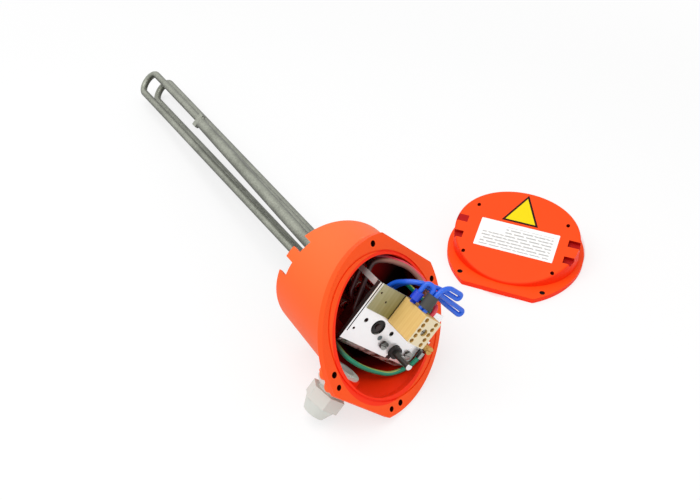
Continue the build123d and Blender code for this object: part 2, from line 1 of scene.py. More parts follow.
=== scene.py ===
"""Looks of an immersion heater and of its terminal cover beside it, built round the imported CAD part.

Shader maths is in millimetres, in two frames of the object's own. The heater's frame has its origin near the
middle of the housing's flange, Z along the rods' axis and out of the housing's mouth, and Y towards the
terminal block. The cover's frame has its origin in the middle of the cover's slanted top. Settings are in
metres and radians.
"""

import math
from functools import cached_property

import bpy
import numpy as np
from bpy.props import FloatProperty, FloatVectorProperty, PointerProperty
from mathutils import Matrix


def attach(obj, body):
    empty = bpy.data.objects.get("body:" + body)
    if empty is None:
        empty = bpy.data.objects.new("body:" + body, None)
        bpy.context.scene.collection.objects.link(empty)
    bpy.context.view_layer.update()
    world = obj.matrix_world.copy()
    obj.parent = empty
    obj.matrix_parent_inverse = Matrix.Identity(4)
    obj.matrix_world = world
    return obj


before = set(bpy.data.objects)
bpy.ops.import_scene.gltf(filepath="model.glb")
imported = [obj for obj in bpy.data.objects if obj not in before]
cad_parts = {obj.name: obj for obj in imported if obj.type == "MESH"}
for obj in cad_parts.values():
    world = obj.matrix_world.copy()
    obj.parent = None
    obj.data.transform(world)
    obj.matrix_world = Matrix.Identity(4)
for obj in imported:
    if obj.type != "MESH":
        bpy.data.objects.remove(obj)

bl_info = {
    "name": "Immersion heater looks",
    "version": (1, 0, 0),
    "blender": (4, 5, 0),
    "location": "View3D > Sidebar > Heater",
    "description": "Procedural materials, stickers and studio for an immersion heater",
    "category": "Object",
}


def rgb(r, g, b):
    """A linear colour with full alpha from sRGB numbers of 0 to 255."""
    out = []
    for c in (r, g, b):
        c = c / 255.0
        out.append(c / 12.92 if c <= 0.04045 else ((c + 0.055) / 1.055) ** 2.4)
    return (*out, 1.0)


MM = 0.001

# Where the pieces lie, in mm and degrees, as the part's source has them.
SHIFT = (13.054, -34.541, 0.337)  # added to every place of the source, because the part lies moved by this much in model.glb
HEATER_AT = (27.3471, -178.2645, 65.8542)
HEADING, DIP, ROLL = -60.5587, 4.8068, 45.5
COVER_AT = (163.4, -3.2)
COVER_TURN = -23.0

# The housing, in mm in the heater's frame.
LEAN_SIN, LEAN_COS = 0.5, 0.866  # of the lean of the flange's face, 30 degrees
FLANGE_THICK = 5.0
OVAL_Z = (-80.0, 45.0)  # rear and front end of the tapering wall
OVAL_REAR = (57.5, 52.0)  # half width and half height of the oval in the middle of the wall
OVAL_FRONT = (60.0, 55.0)
OVAL_RISE = 2.0  # how much higher the oval's middle is in front, and the flange's with it
INNER_Z = -59.0  # just behind the inner face of the rear wall
PLATE_BACK = -3.0  # from here back the plate is darkened
BLOCK_FACE = 25.5  # just behind the terminal block's face

# Holes, in mm across and up the flange, or across and along the cover; each has a twin on the other side.
FLANGE_HOLES = ((39.5, 54.5), (41.0, -52.0), (32.5, -59.5))
COVER_HOLES = ((39.5, 54.5), (40.0, -54.7))
TOP_HOLES = ((44.4, 14.6), (43.4, -35.9))
HOLE_R = 2.75
HOLE_DEPTH = 11.0
TOP_HOLE_R = 1.95
RECESS_DEPTH = 4.6
DRAWN_DEPTH = 2.4  # how far the drawn recess reaches down over the rounded rim
SKIN = 0.06  # a hole's colour starts this far below the face round it
SLACK = 0.05  # puts a face that lies just on a limit on the right side of it

# The cover's patch of floor that the camera doesn't see whitened, in mm: two arcs, as the cover's outline.
PATCH_ARC_R = 85.5
PATCH_ARC_X = 20.0  # how far each arc's middle lies beyond the cover's middle
PATCH_BEHIND = 12.26  # how far the patch lies behind the cover's middle

# How dark it gets in the housing, in mm.
GLOOM_FROM = (28.0, 6.0)  # depth below the flange's face where it starts, in the lower and in the upper half
GLOOM_HALVES = (-45.0, -15.0)  # Y where the lower half ends and the upper half begins
GLOOM_FADE = 26.0
SHADED_X = -8.0  # the plate shades what lies beyond

BLACK = (0.002, 0.001, 0.001, 1.0)
WHITE = (1.0, 1.0, 1.0, 1.0)
GLOW = (0.03, 0.001, 0.001, 1.0)  # what the gloom fades to on the shaded side
RED_GLOW = (0.62, 0.004, 0.002, 1.0)  # the same for the housing and for brass
HOLE_SHADE = rgb(44, 8, 5)
GRAIN = 0.00002  # height of a moulding's fine grain, m

# Two spots painted on the plate: a hole, dark with painted shade, and a painted shadow beside a screw; X and
# Y of the middle, radius and colour.
PLATE_HOLE_AND_SHADOW_SPOTS = (
    (24.8, -20.6, 2.6, rgb(52, 22, 18)),
    (2.9, -9.2, 2.3, rgb(112, 124, 128)),
)

# The stage, in metres: place and width of each light, and half the floor's width.
KEY_LIGHT = ((-0.5, -0.35, 1.5), 1.4)
FILL_LIGHT = ((0.9, -1.2, 0.7), 1.2)
FLOOR_HALF = 6.0


# Settings.


def tint(name, description, r, g, b):
    """A colour setting whose default is given in sRGB numbers of 0 to 255."""
    return FloatVectorProperty(
        name=name, description=description, default=rgb(r, g, b), size=4, min=0.0, max=1.0, subtype="COLOR"
    )


class TintSettings(bpy.types.PropertyGroup):
    """Colours of the pieces, which their materials shade and mottle."""

    # The two upward oranges are painted light: the orange as lit where a moulding faces up. The inner wall's
    # orange is painted shade: a darker, redder copy for inside the mouth.
    housing: tint("Housing", "Orange of the housing's sides", 254, 97, 34)
    housing_painted_light: tint("Housing, upwards", "Orange of the housing where it faces up", 254, 116, 60)
    flange: tint("Flange", "Orange of the housing's flange", 254, 84, 24)
    inner: tint("Inner wall", "Orange inside the housing's mouth", 252, 48, 8)
    cover: tint("Cover", "Orange of the cover's sides", 252, 50, 3)
    cover_painted_light: tint("Cover, upwards", "Orange of the cover where it faces up", 254, 80, 18)
    rods: tint("Rods", "Drawn steel of the rods", 166, 169, 156)
    block: tint("Terminal block", "Tan of the terminal block's sides", 226, 192, 118)
    sheet: tint("Sheet", "Olive of the insulating sheet", 124, 117, 58)
    brass: tint("Brass", "Brass of clamps, bars, studs and plug", 214, 170, 96)
    steel: tint("Steel", "Plated steel of screws and lug", 168, 168, 164)
    spindle: tint("Spindle", "Polished steel of the control spindle", 238, 238, 236)
    gland: tint("Gland", "Pale nylon of the cable gland", 208, 210, 203)
    blue: tint("Blue leads", "Insulation of the blue leads", 20, 98, 226)
    boot: tint("Crimp terminal", "Insulation of the crimp terminal", 16, 62, 205)
    red: tint("Red lead", "Insulation of the red lead", 228, 62, 84)
    brown: tint("Brown lead", "Insulation of the brown lead", 146, 96, 80)
    green: tint("Earth leads", "Green of the earth leads", 0, 146, 112)
    stripe: tint("Earth stripe", "Yellow stripe of the earth leads", 176, 194, 104)
    sleeve: tint("Sleeve", "Grey sleeve round the leads", 66, 66, 62)
    label: tint("Label", "White of the label", 246, 246, 244)
    triangle: tint("Triangle", "Yellow of the triangle", 240, 216, 12)


class CoverSettings(bpy.types.PropertyGroup):
    """Where the cover's slanted top and its recesses are, and the sizes of its two stickers."""

    height: FloatProperty(
        name="Top height",
        description="Height of the top's middle above the flange's foot",
        default=0.03,
        unit="LENGTH",
    )
    slope: FloatProperty(
        name="Top slope",
        description="Lean of the top",
        default=math.radians(22.0),
        subtype="ANGLE",
    )
    label_size: FloatVectorProperty(
        name="Label",
        description="Width and height of the label",
        default=(0.0773, 0.0312),
        size=2,
        unit="LENGTH",
    )
    label_at: FloatVectorProperty(
        name="Label place",
        description="Middle of the label, across and up the top",
        default=(0.0018, -0.0131),
        size=2,
        unit="LENGTH",
    )
    label_corner: FloatProperty(
        name="Label corners",
        description="Radius of the label's corners",
        default=0.0008,
        unit="LENGTH",
    )
    triangle_size: FloatVectorProperty(
        name="Triangle",
        description="Foot and height of the triangle",
        default=(0.036, 0.0335),
        size=2,
        unit="LENGTH",
    )
    triangle_at: FloatVectorProperty(
        name="Triangle place",
        description="Middle of the triangle's foot, across and up the top",
        default=(-0.0003, 0.00535),
        size=2,
        unit="LENGTH",
    )
    thickness: FloatProperty(
        name="Sticker",
        description="Thickness of a sticker",
        default=0.00018,
        unit="LENGTH",
    )
    clearance: FloatProperty(
        name="Sticker clearance",
        description="Gap between the top and a sticker",
        default=0.00002,
        unit="LENGTH",
    )
    recess_at: FloatVectorProperty(
        name="Recesses",
        description="Middles of the side recesses, along the cover",
        default=(-0.003, -0.02),
        size=2,
        unit="LENGTH",
    )
    recess_width: FloatProperty(
        name="Recess width",
        description="Width of a side recess",
        default=0.0074,
        unit="LENGTH",
    )
    recess_from: FloatProperty(
        name="Recess end",
        description="Where the recesses end inwards, from the cover's middle",
        default=0.0495,
        unit="LENGTH",
    )


class StudioSettings(bpy.types.PropertyGroup):
    """Camera, light and floor of the studio."""

    elevation: FloatProperty(
        name="Elevation",
        description="Camera above the horizon",
        default=math.radians(39.23),
        subtype="ANGLE",
    )
    distance: FloatProperty(
        name="Distance",
        description="Camera to the middle of the view",
        default=0.89065,
        unit="LENGTH",
    )
    lens: FloatProperty(
        name="Lens",
        description="Focal length for a 36 mm wide sensor",
        default=46.09,
        unit="CAMERA",
    )
    key: FloatProperty(
        name="Key light",
        description="Strength of the large soft light",
        default=15.0,
        unit="POWER",
    )
    fill: FloatProperty(
        name="Fill light",
        description="Strength of the low front light",
        default=2.5,
        unit="POWER",
    )
    sky: FloatProperty(
        name="Sky",
        description="Strength of the white surroundings",
        default=0.66,
    )
    whiten: FloatProperty(
        name="Whiten",
        description="Share of plain white in the floor as seen near the object",
        default=0.7,
        min=0.0,
        max=1.0,
        subtype="FACTOR",
    )
    white_from: FloatProperty(
        name="White from",
        description="Distance from the middle where the floor starts to turn plain white",
        default=0.4472,
        unit="LENGTH",
    )
    white_to: FloatProperty(
        name="White to",
        description="Distance from the middle where the floor is plain white",
        default=0.8367,
        unit="LENGTH",
    )


# Frames.


def heater_frame():
    """Place of the heater's own origin in metres, and its X, Y and Z axes.

    Z is the rods' axis out of the housing's mouth, at the heading and dip. X is the level direction square to
    Z, turned about Z by the roll. Y completes them."""
    heading, dip, roll = (math.radians(v) for v in (HEADING, DIP, ROLL))
    z = np.array((math.cos(heading) * math.cos(dip), math.sin(heading) * math.cos(dip), math.sin(dip)))
    level = np.cross(z, (0.0, 0.0, 1.0))
    level /= np.linalg.norm(level)
    x = -(level * math.cos(roll) + np.cross(level, z) * math.sin(roll))
    return (np.array(HEATER_AT) + SHIFT) * MM, (x, np.cross(z, x), z)


def cover_frame(lean=0.0):
    """The middle of the cover's slanted top in metres, and three axes there.

    The first runs level across the cover. The second runs along the cover and rises by the lean. The third
    is square to both and points up."""
    turn = math.radians(COVER_TURN)
    across = np.array((math.cos(turn), math.sin(turn), 0.0))
    along = np.array((-math.sin(turn), math.cos(turn), 0.0))
    up = np.array((0.0, 0.0, 1.0))
    height = bpy.context.scene.heater_cover.height
    place = (np.array((*COVER_AT, height / MM)) + SHIFT) * MM
    rising = along * math.cos(lean) + up * math.sin(lean)
    return place, (across, rising, up * math.cos(lean) - along * math.sin(lean))


# Shader maths.


class Shader:
    """One node tree of a material or of the world: node() makes every node, and Value wraps what varies."""

    def __init__(self, name, owner=None):
        self.owner = owner or bpy.data.materials.new(name)
        self.owner.use_nodes = True
        self.tree = self.owner.node_tree
        self.tree.nodes.clear()

    def node(self, kind, settings=None, inputs=None):
        """Makes a node of a kind, sets its settings and then links or sets its inputs."""
        n = self.tree.nodes.new(kind)
        for key, value in (settings or {}).items():
            setattr(n, key, value)
        for key, value in (inputs or {}).items():
            if isinstance(value, Value):
                self.tree.links.new(value.socket, n.inputs[key])
            elif isinstance(value, bpy.types.NodeSocket):
                self.tree.links.new(value, n.inputs[key])
            else:
                n.inputs[key].default_value = value
        return n

    def maths(self, operation, *terms):
        """A Math node on values and numbers."""
        n = self.node("ShaderNodeMath", {"operation": operation}, dict(enumerate(terms)))
        return Value(self, n.outputs[0])

    def split(self, kind):
        """The three values of a texture coordinate, such as Object, Normal or UV."""
        vector = self.node("ShaderNodeTexCoord").outputs[kind]
        n = self.node("ShaderNodeSeparateXYZ", None, {0: vector})
        return [Value(self, out) for out in n.outputs]

    def reach(self, vector, axis):
        """How far a vector reaches along an axis: their dot product."""
        axis = tuple(float(k) for k in axis)
        n = self.node("ShaderNodeVectorMath", {"operation": "DOT_PRODUCT"}, {0: vector, 1: axis})
        return Value(self, n.outputs["Value"])

    def local(self, place, axes):
        """Object coordinates in a frame of the object's own, as three values in millimetres."""
        here = self.node("ShaderNodeTexCoord").outputs["Object"]
        origin = tuple(float(k) for k in place)
        away = self.node("ShaderNodeVectorMath", {"operation": "SUBTRACT"}, {0: here, 1: origin}).outputs[0]
        return [self.reach(away, axis / MM) for axis in axes]

    @cached_property
    def heater_point(self):
        """Object coordinates in the heater's frame."""
        return self.local(*heater_frame())

    @cached_property
    def flange_point(self):
        """Across the housing's flange, up its leaning face, and above that face."""
        x, y, z = self.heater_point
        y = y - OVAL_RISE
        return x, y * LEAN_COS - z * LEAN_SIN, y * LEAN_SIN + z * LEAN_COS

    def facing(self, axis):
        """How much the surface faces along a direction, from -1 to 1."""
        return self.reach(self.node("ShaderNodeTexCoord").outputs["Normal"], axis)

    def seen(self):
        """1 for rays from the camera and for mirrored and refracted rays, else 0."""
        path = self.node("ShaderNodeLightPath")
        names = ("Is Camera Ray", "Is Glossy Ray", "Is Transmission Ray")
        return any_of([Value(self, path.outputs[name]) for name in names])

    def noise(self, scale, detail=2.0):
        """Noise from 0 to 1 with scale features per metre."""
        here = self.node("ShaderNodeTexCoord").outputs["Object"]
        n = self.node("ShaderNodeTexNoise", None, {"Vector": here, "Scale": scale, "Detail": detail})
        return Value(self, n.outputs[0])

    def mix(self, factor, a, b):
        """Colour a where the factor is 0 and b where it is 1; 6, 7 and 2 are the node's colour sockets."""
        n = self.node("ShaderNodeMix", {"data_type": "RGBA"}, {0: factor, 6: a, 7: b})
        return Value(self, n.outputs[2])

    def cloudy(self, colour, share):
        """The colour with soft clouds that are darker by a share."""
        return self.mix(self.noise(25.0), shaded(colour, share), colour)

    def gloom(self):
        """How dark it is in the housing, 0 to 1: it grows with the depth below the flange's leaning face.

        It starts near that face in the upper half and deeper in the lower half, which the light reaches. It
        grows faster beyond the plate, which shades that side."""
        x, y, z = self.heater_point
        depth = -self.flange_point[2]
        low, high = GLOOM_FROM
        start = y.ramp(*GLOOM_HALVES) * (high - low) + low
        shade = (SHADED_X - x).largest(0.0) * 1.2 * depth.ramp(0.0, 7.0)
        return (depth + shade - start).ramp(0.0, GLOOM_FADE) * (z > INNER_Z)

    def darkened(self, colour, glow=GLOW):
        """The colour fading with the gloom to black, and to a red glow on the shaded side."""
        x, y, _ = self.heater_point
        red = x.ramp(30.0, 6.0) * y.ramp(50.0, 28.0)
        return self.mix(self.gloom() * 0.97, colour, self.mix(red, BLACK, glow))

    def finish(self, **inputs):
        """Ends the tree in one Principled shader; bump is a height value in metres."""
        bump = inputs.pop("bump", None)
        names = {k.replace("_", " ").title().replace("Ior", "IOR"): v for k, v in inputs.items()}
        if bump is not None:
            n = self.node("ShaderNodeBump", None, {"Height": bump, "Strength": 1.0, "Distance": 1.0})
            names["Normal"] = n.outputs[0]
        shader = self.node("ShaderNodeBsdfPrincipled", None, names)
        self.node("ShaderNodeOutputMaterial", None, {"Surface": shader.outputs[0]})
        return self.owner

    def blend_shaders(self, factor, a, b, output):
        """Ends the tree in shader a where the factor is 0 and b where it is 1."""
        both = self.node("ShaderNodeMixShader", None, {0: factor, 1: a.outputs[0], 2: b.outputs[0]})
        self.node(output, None, {"Surface": both.outputs[0]})
        return self.owner


class Value:
    """A socket that can be used in Python expressions; each operator adds a Math node."""

    def __init__(self, shader, socket):
        self.shader = shader
        self.socket = socket

    def __add__(self, other):
        return self.shader.maths("ADD", self, other)

    def __radd__(self, other):
        return self.shader.maths("ADD", other, self)

    def __sub__(self, other):
        return self.shader.maths("SUBTRACT", self, other)

    def __rsub__(self, other):
        return self.shader.maths("SUBTRACT", other, self)

    def __mul__(self, other):
        return self.shader.maths("MULTIPLY", self, other)

    def __rmul__(self, other):
        return self.shader.maths("MULTIPLY", other, self)

    def __truediv__(self, other):
        return self.shader.maths("DIVIDE", self, other)

    def __rtruediv__(self, other):
        return self.shader.maths("DIVIDE", other, self)

    def __neg__(self):
        return self.shader.maths("MULTIPLY", self, -1.0)

    def __abs__(self):
        return self.shader.maths("ABSOLUTE", self)

    def __gt__(self, other):
        return self.shader.maths("GREATER_THAN", self, other)

    def __lt__(self, other):
        return self.shader.maths("LESS_THAN", self, other)

    def sine(self):
        return self.shader.maths("SINE", self)

    def fraction(self):
        return self.shader.maths("FRACT", self)

    def smallest(self, other):
        return self.shader.maths("MINIMUM", self, other)

    def largest(self, other):
        return self.shader.maths("MAXIMUM", self, other)

    def clamped(self):
        return self.largest(0.0).smallest(1.0)

    def ramp(self, start, end):
        """0 up to the start, 1 from the end on, and even between them."""
        return ((self - start) / (end - start)).clamped()


def any_of(masks):
    """1 where any of the masks is 1, else 0."""
    out = masks[0]
    for mask in masks[1:]:
        out = out.largest(mask)
    return out


def spots(x, y, places, radius):
    """1 within the radius of any of the places in the plane of x and y, else 0."""
    hits = []
    for px, py in places:
        a, b = x - px, y - py
        hits.append(a * a + b * b < radius * radius)
    return any_of(hits)


def shaded(colour, share):
    """The colour darker by a share."""
    return (*(c * (1.0 - share) for c in colour[:3]), 1.0)


# Materials that several pieces share.


def plastic(name, colour, roughness, coat=0.0, clouds=0.12, gloomy=False):
    """Moulded plastic: an even colour with faint clouds and a fine grain.

    Where gloomy is set, it gets darker deep in the housing."""
    s = Shader(name)
    base = s.cloudy(colour, clouds)
    if gloomy:
        base = s.darkened(base)
    fine = s.noise(900.0)
    return s.finish(
        base_color=base, roughness=fine * 0.08 + (roughness - 0.04), coat_weight=coat, bump=fine * GRAIN
    )


def metal(name, colour, roughness, metallic=1.0, side=None, glow=GLOW):
    """Plated or drawn metal: slightly uneven in tone and roughness, darker deep in the housing.

    side is the darker colour painted on the faces that don't look out of the housing's mouth: painted shade
    for plated steel, a painted dark reflection for the spindle."""
    s = Shader(name)
    patch = s.noise(260.0, 3.0)
    base = s.mix(patch, shaded(colour, 0.24), colour)
    if side:
        # the side colour is painted on the faces that don't look out of the mouth
        out = heater_frame()[1][2]
        base = s.mix(s.facing(out) > 0.7, side, base)
    return s.finish(
        base_color=s.darkened(base, glow),
        roughness=patch * 0.12 + (roughness - 0.06),
        metallic=metallic,
        bump=patch * 0.000006,
    )


def orange(s, side, top):
    """The orange of a moulding: the colour side, turning into the colour top where it faces up, as painted
    light.
    """
    up = s.facing((0.0, 0.0, 1.0)).clamped()
    return s.mix(up * up, s.cloudy(side, 0.07), s.cloudy(top, 0.07))


def orange_finish(s, base):
    """Ends the tree of an orange moulding: satin, with a fine grain."""
    fine = s.noise(900.0)
    return s.finish(
        base_color=base, roughness=fine * 0.08 + 0.46, bump=fine * GRAIN, specular_ior_level=0.15
    )


# Materials of the pieces.


def orange_moulding(name, tints):
    """Orange moulding of the housing, with painted light where it faces up: inside it turns a redder orange
    as painted shade, then dark red and nearly black with the gloom.

    Inside are the points within an oval that lies in the middle of the tapering wall, where (x / half width)
    squared plus (y / half height) squared is below 1. Screw holes are nearly black with painted shade."""
    s = Shader(name)
    x, y, z = s.heater_point
    _, up, lift = s.flange_point
    k = (z - OVAL_Z[0]) / (OVAL_Z[1] - OVAL_Z[0])
    across = x / (k * (OVAL_FRONT[0] - OVAL_REAR[0]) + OVAL_REAR[0])
    high = (y - k * OVAL_RISE) / (k * (OVAL_FRONT[1] - OVAL_REAR[1]) + OVAL_REAR[1])
    inner = (across * across + high * high < 1.0) * (z > INNER_Z)
    gloom = s.gloom() * inner
    behind = lift < -FLANGE_THICK - SLACK
    outer = s.mix(behind, tints.flange, orange(s, tints.housing, tints.housing_painted_light))
    # painted shade: the inside of the mouth takes the darker, redder inner orange
    wall = s.mix(inner, outer, tints.inner)
    red = s.mix(gloom.ramp(0.0, 0.5), wall, rgb(132, 7, 2))
    deep = s.mix(gloom.ramp(0.5, 1.0), red, s.darkened(rgb(150, 7, 4), RED_GLOW))
    hole = spots(abs(x), up, FLANGE_HOLES, HOLE_R) * (lift < -SKIN) * (lift > -HOLE_DEPTH)
    return orange_finish(s, s.mix(hole, s.mix(inner, red, deep), HOLE_SHADE))


def orange_cover(name, tints):
    """Orange moulding of the cover, with painted light where it faces up, and dark red painted shade in the
    recesses at the sides of its top and in its holes.

    The upper recess on the left is drawn by colour alone, as painted shade."""
    s = Shader(name)
    cover = bpy.context.scene.heater_cover
    x, along, above = s.local(*cover_frame())
    _, up, lift = s.local(*cover_frame(cover.slope))
    half = cover.recess_width / 2 / MM + SLACK
    inward = cover.recess_from / MM
    rows = [abs(up - middle / MM / math.cos(cover.slope)) < half for middle in cover.recess_at]
    recess = any_of(rows) * (abs(x) > inward - SLACK) * (lift < -SKIN) * (lift > -RECESS_DEPTH)
    drawn = rows[0] * (x < -inward) * (lift > -DRAWN_DEPTH)
    top = spots(abs(x), along, TOP_HOLES, TOP_HOLE_R) * (lift < -SKIN)
    low = spots(abs(x), along, COVER_HOLES, HOLE_R) * (above < FLANGE_THICK - SLACK - cover.height / MM)
    # painted shade: dark red in the recesses, darker in the holes of the top, nearly black in the holes of
    # the cover's flange
    base = s.mix(recess.largest(drawn), orange(s, tints.cover, tints.cover_painted_light), rgb(178, 8, 4))
    base = s.mix(top, base, rgb(96, 10, 6))
    return orange_finish(s, s.mix(low, base, HOLE_SHADE))


def drawn_steel(name, tints):
    """Drawn steel tube of the rods: mottled grey with a fine grain, with painted light on its upper side and
    painted shade on its flanks and below.
    """
    s = Shader(name)
    mottle = s.noise(30.0, 5.0) - 0.5
    fine = s.noise(600.0, 3.0) - 0.5
    # painted light and shade: lighter where the tube faces up, darker on its flanks and below; the rods' tint
    # is the lit end and the dark grey the shaded end, mixed with the mottle
    upper = s.facing((-0.2, -0.42, 0.88)) * 1.5 - 0.62
    tone = (upper + mottle * 0.9 + fine * 1.1).clamped()
    base = s.mix(tone, rgb(70, 72, 62), tints.rods)
    return s.finish(base_color=base, roughness=fine * 0.2 + 0.42, metallic=0.5, bump=fine * 0.00003)


def bright_plate(name, tints):
    """Bright plated sheet: near white in front, pale with painted light at its upper edge, blotched at its
    lower lip, else dark with painted shade.

    Two spots beside the spindle are drawn by colour alone: a hole dark with painted shade, and a painted
    shadow."""
    s = Shader(name)
    x, y, z = s.heater_point
    right, up, out = heater_frame()[1]
    front = s.facing(out) > 0.8
    patch = s.noise(140.0, 3.0)
    # painted light and shade on the edges: pale where they face up, dark elsewhere
    base = s.mix(s.facing(up) > 0.6, rgb(66, 62, 60), rgb(206, 212, 208))
    blotch = s.mix(patch.ramp(0.4167, 0.5833), rgb(88, 84, 80), rgb(226, 226, 224))
    base = s.mix(s.facing(up) < -0.5, base, blotch)
    base = s.mix(front, base, s.mix(patch, rgb(244, 245, 247), rgb(252, 252, 253)))
    face = front * (z > -1.0) * (z < 0.2)
    # a hole dark with painted shade and a painted shadow, drawn on the plate's front face
    for px, py, radius, colour in PLATE_HOLE_AND_SHADOW_SPOTS:
        base = s.mix(face * spots(x, y, [(px, py)], radius), base, colour)
    base = s.mix(z > PLATE_BACK, s.darkened(base), base)
    # painted light on the bracket's arm: a painted sheen near the mouth, fading to painted shade at the rear
    arm = (s.facing(right) < -0.6) * (y > 25.5) * (z < PLATE_BACK - 0.4)
    painted_sheen = z.ramp(-62.0, -12.0) * (patch * 0.6 + 0.6)
    base = s.mix(arm, base, s.mix(painted_sheen, rgb(50, 48, 46), rgb(232, 236, 232)))
    return s.finish(base_color=base, roughness=patch * 0.1 + 0.2, metallic=0.55)


def tan_block(name, tints):
    """Tan moulding of the terminal block, with faint streaks on its sides and a paler face."""
    s = Shader(name)
    _, y, z = s.heater_point
    streak = (z * 1.9).sine() * (z * 0.71 + y * 0.13).sine() * 0.5 + 0.5
    side = s.mix(streak * 0.5, tints.block, rgb(214, 172, 92))
    face = (s.facing(heater_frame()[1][2]) > 0.8) * (z > BLOCK_FACE)
    return s.finish(base_color=s.mix(face, side, rgb(230, 214, 178)), roughness=0.5)


def olive_sheet(name, tints):
    """Olive sheet, paler and greyer towards its upper corner, with a dark painted shadow in the gap beside
    the terminal block.
    """
    s = Shader(name)
    x, y, _ = s.heater_point
    streak = (x * 1.3 + y * 0.1).sine() * (x * 0.47).sine() * 5.4
    base = s.mix((y - x + streak).ramp(13.5, 58.5), tints.sheet, rgb(172, 168, 132))
    # painted shadow in the gap between the sheet and the terminal block
    painted_shadow_gap = (x > -4.6) * (x < -2.9)
    return s.finish(base_color=s.mix(painted_shadow_gap, base, rgb(46, 44, 24)), roughness=0.36)


def brass(name, tints):
    """Brass, with a red glow from the housing where it is gloomy."""
    return metal(name, tints.brass, 0.3, glow=RED_GLOW)


def plated_steel(name, tints):
    """Plated steel, with painted shade on all faces but the front."""
    return metal(name, tints.steel, 0.25, side=rgb(70, 68, 66))


def polished_steel(name, tints):
    """Polished steel of the control spindle, with a painted dark reflection on all faces but the front."""
    return metal(name, tints.spindle, 0.3, metallic=0.7, side=rgb(84, 82, 78))


def dark_moulding(name, tints):
    """Black moulding of the two devices behind the plate."""
    return plastic(name, rgb(22, 18, 17), 0.5, gloomy=True)


def button_red(name, tints):
    """Dark red moulding of the reset button."""
    return plastic(name, rgb(40, 12, 10), 0.4)


def black_rubber(name, tints):
    """Dull black rubber of the seals."""
    return plastic(name, rgb(32, 32, 32), 0.65)


def pale_nylon(name, tints):
    """Pale nylon of the cable gland."""
    return plastic(name, tints.gland, 0.42, clouds=0.06)


def ceramic(name, tints):
    """Off-white ceramic of the insulators."""
    return plastic(name, rgb(228, 222, 206), 0.5)


def copper(name, tints):
    """Copper of the sensing bulbs and their fine tubes."""
    return metal(name, rgb(205, 130, 92), 0.3)


def blue_insulation(name, tints):
    """Glossy blue insulation."""
    return plastic(name, tints.blue, 0.38, coat=0.15, gloomy=True)


def blue_boot(name, tints):
    """Dark blue insulation of the crimp terminal."""
    return plastic(name, tints.boot, 0.35, coat=0.1)


def red_insulation(name, tints):
    """Red insulation."""
    return plastic(name, tints.red, 0.42, gloomy=True)


def brown_insulation(name, tints):
    """Brown insulation."""
    return plastic(name, tints.brown, 0.45, gloomy=True)


def earth_insulation(name, tints):
    """Green insulation with a yellow stripe along the side that faces up."""
    s = Shader(name)
    stripe = s.facing((0.35, 0.1, 0.93)) > 0.88
    base = s.darkened(s.mix(stripe, tints.green, tints.stripe))
    return s.finish(base_color=base, roughness=0.42, coat_weight=0.05)


def grey_sleeve(name, tints):
    """Dull grey sleeve."""
    return plastic(name, tints.sleeve, 0.7)


def label_print(name, tints):
    """White sticker with pale grey bars: rows of uneven dashes within a margin."""
    s = Shader(name)
    u, v, _ = s.split("UV")
    rows = (v * 9.0).fraction() > 0.62
    dashes = (u * 61.0).sine() * (u * 23.0 + v * 40.0).sine() > -0.55
    margin = (u > 0.06) * (u < 0.94) * (v > 0.08) * (v < 0.86)
    corner = (u > 0.34).largest(v < 0.55)
    base = s.mix(rows * dashes * margin * corner * 0.75, tints.label, rgb(150, 150, 148))
    return s.finish(base_color=base, roughness=0.45)


def triangle_print(name, tints):
    """Plain yellow sticker with a dark border, which is where the distance to the nearest edge is small."""
    s = Shader(name)
    u, v, _ = s.split("UV")
    square = 2.0 / math.sqrt(5.0)
    left = (u - v * 0.5) * square
    right = (1.0 - u - v * 0.5) * square
    edge = v.smallest(left).smallest(right)
    base = s.mix(edge < 0.055, tints.triangle, rgb(40, 6, 4))
    return s.finish(base_color=base, roughness=0.6, specular_ior_level=0.15)


# Each material and the nodes that have it; a material is called as its function is.
FINISHES = (
    (orange_moulding, ("housing",)),
    (orange_cover, ("cover",)),
    (drawn_steel, ("heating_element_1", "heating_element_2", "probe_pocket")),
    (bright_plate, ("bracket",)),
    (tan_block, ("terminal_block",)),
    (olive_sheet, ("insulating_sheet",)),
    (brass, ("screw_plug", "earth_studs", "link_bars", "block_terminals", "earth_screw")),
    (
        plated_steel,
        ("plug_screws", "bracket_screws", "block_screw", "regulator_screws", "terminal_studs", "earth_lug"),
    ),
    (polished_steel, ("control_spindle",)),
    (dark_moulding, ("regulator_body", "regulator_lid", "cutout_body", "cutout_lid")),
    (button_red, ("reset_button",)),
    (black_rubber, ("plug_gasket", "gland_seal")),
    (pale_nylon, ("gland_body", "gland_locknut", "gland_nut")),
    (ceramic, ("terminal_insulators",)),
    (copper, ("regulator_bulb", "cutout_bulb")),
    (blue_insulation, ("lead_blue_1", "lead_blue_2", "lead_blue_3")),
    (blue_boot, ("crimp_terminal",)),
    (red_insulation, ("lead_red",)),
    (brown_insulation, ("lead_brown",)),
    (earth_insulation, ("lead_earth_1", "lead_earth_2")),
    (grey_sleeve, ("lead_sleeve",)),
)


# Stickers.


def rounded(middle, size, radius, steps=6):
    """Outline of a rectangle whose corners are quarter circles.

    Each corner's points are its circle's middle plus the radius times the cosine and sine of even angles."""
    signs = np.array(((1, -1), (1, 1), (-1, 1), (-1, -1)))
    centres = np.array(middle) + signs * (np.array(size) / 2 - radius)
    angles = np.radians((-90.0, 0.0, 90.0, 180.0))[:, None] + np.radians(np.linspace(0.0, 90.0, steps + 1))
    ring = np.stack([np.cos(angles), np.sin(angles)], axis=-1) * radius
    return (centres[:, None] + ring).reshape(-1, 2)


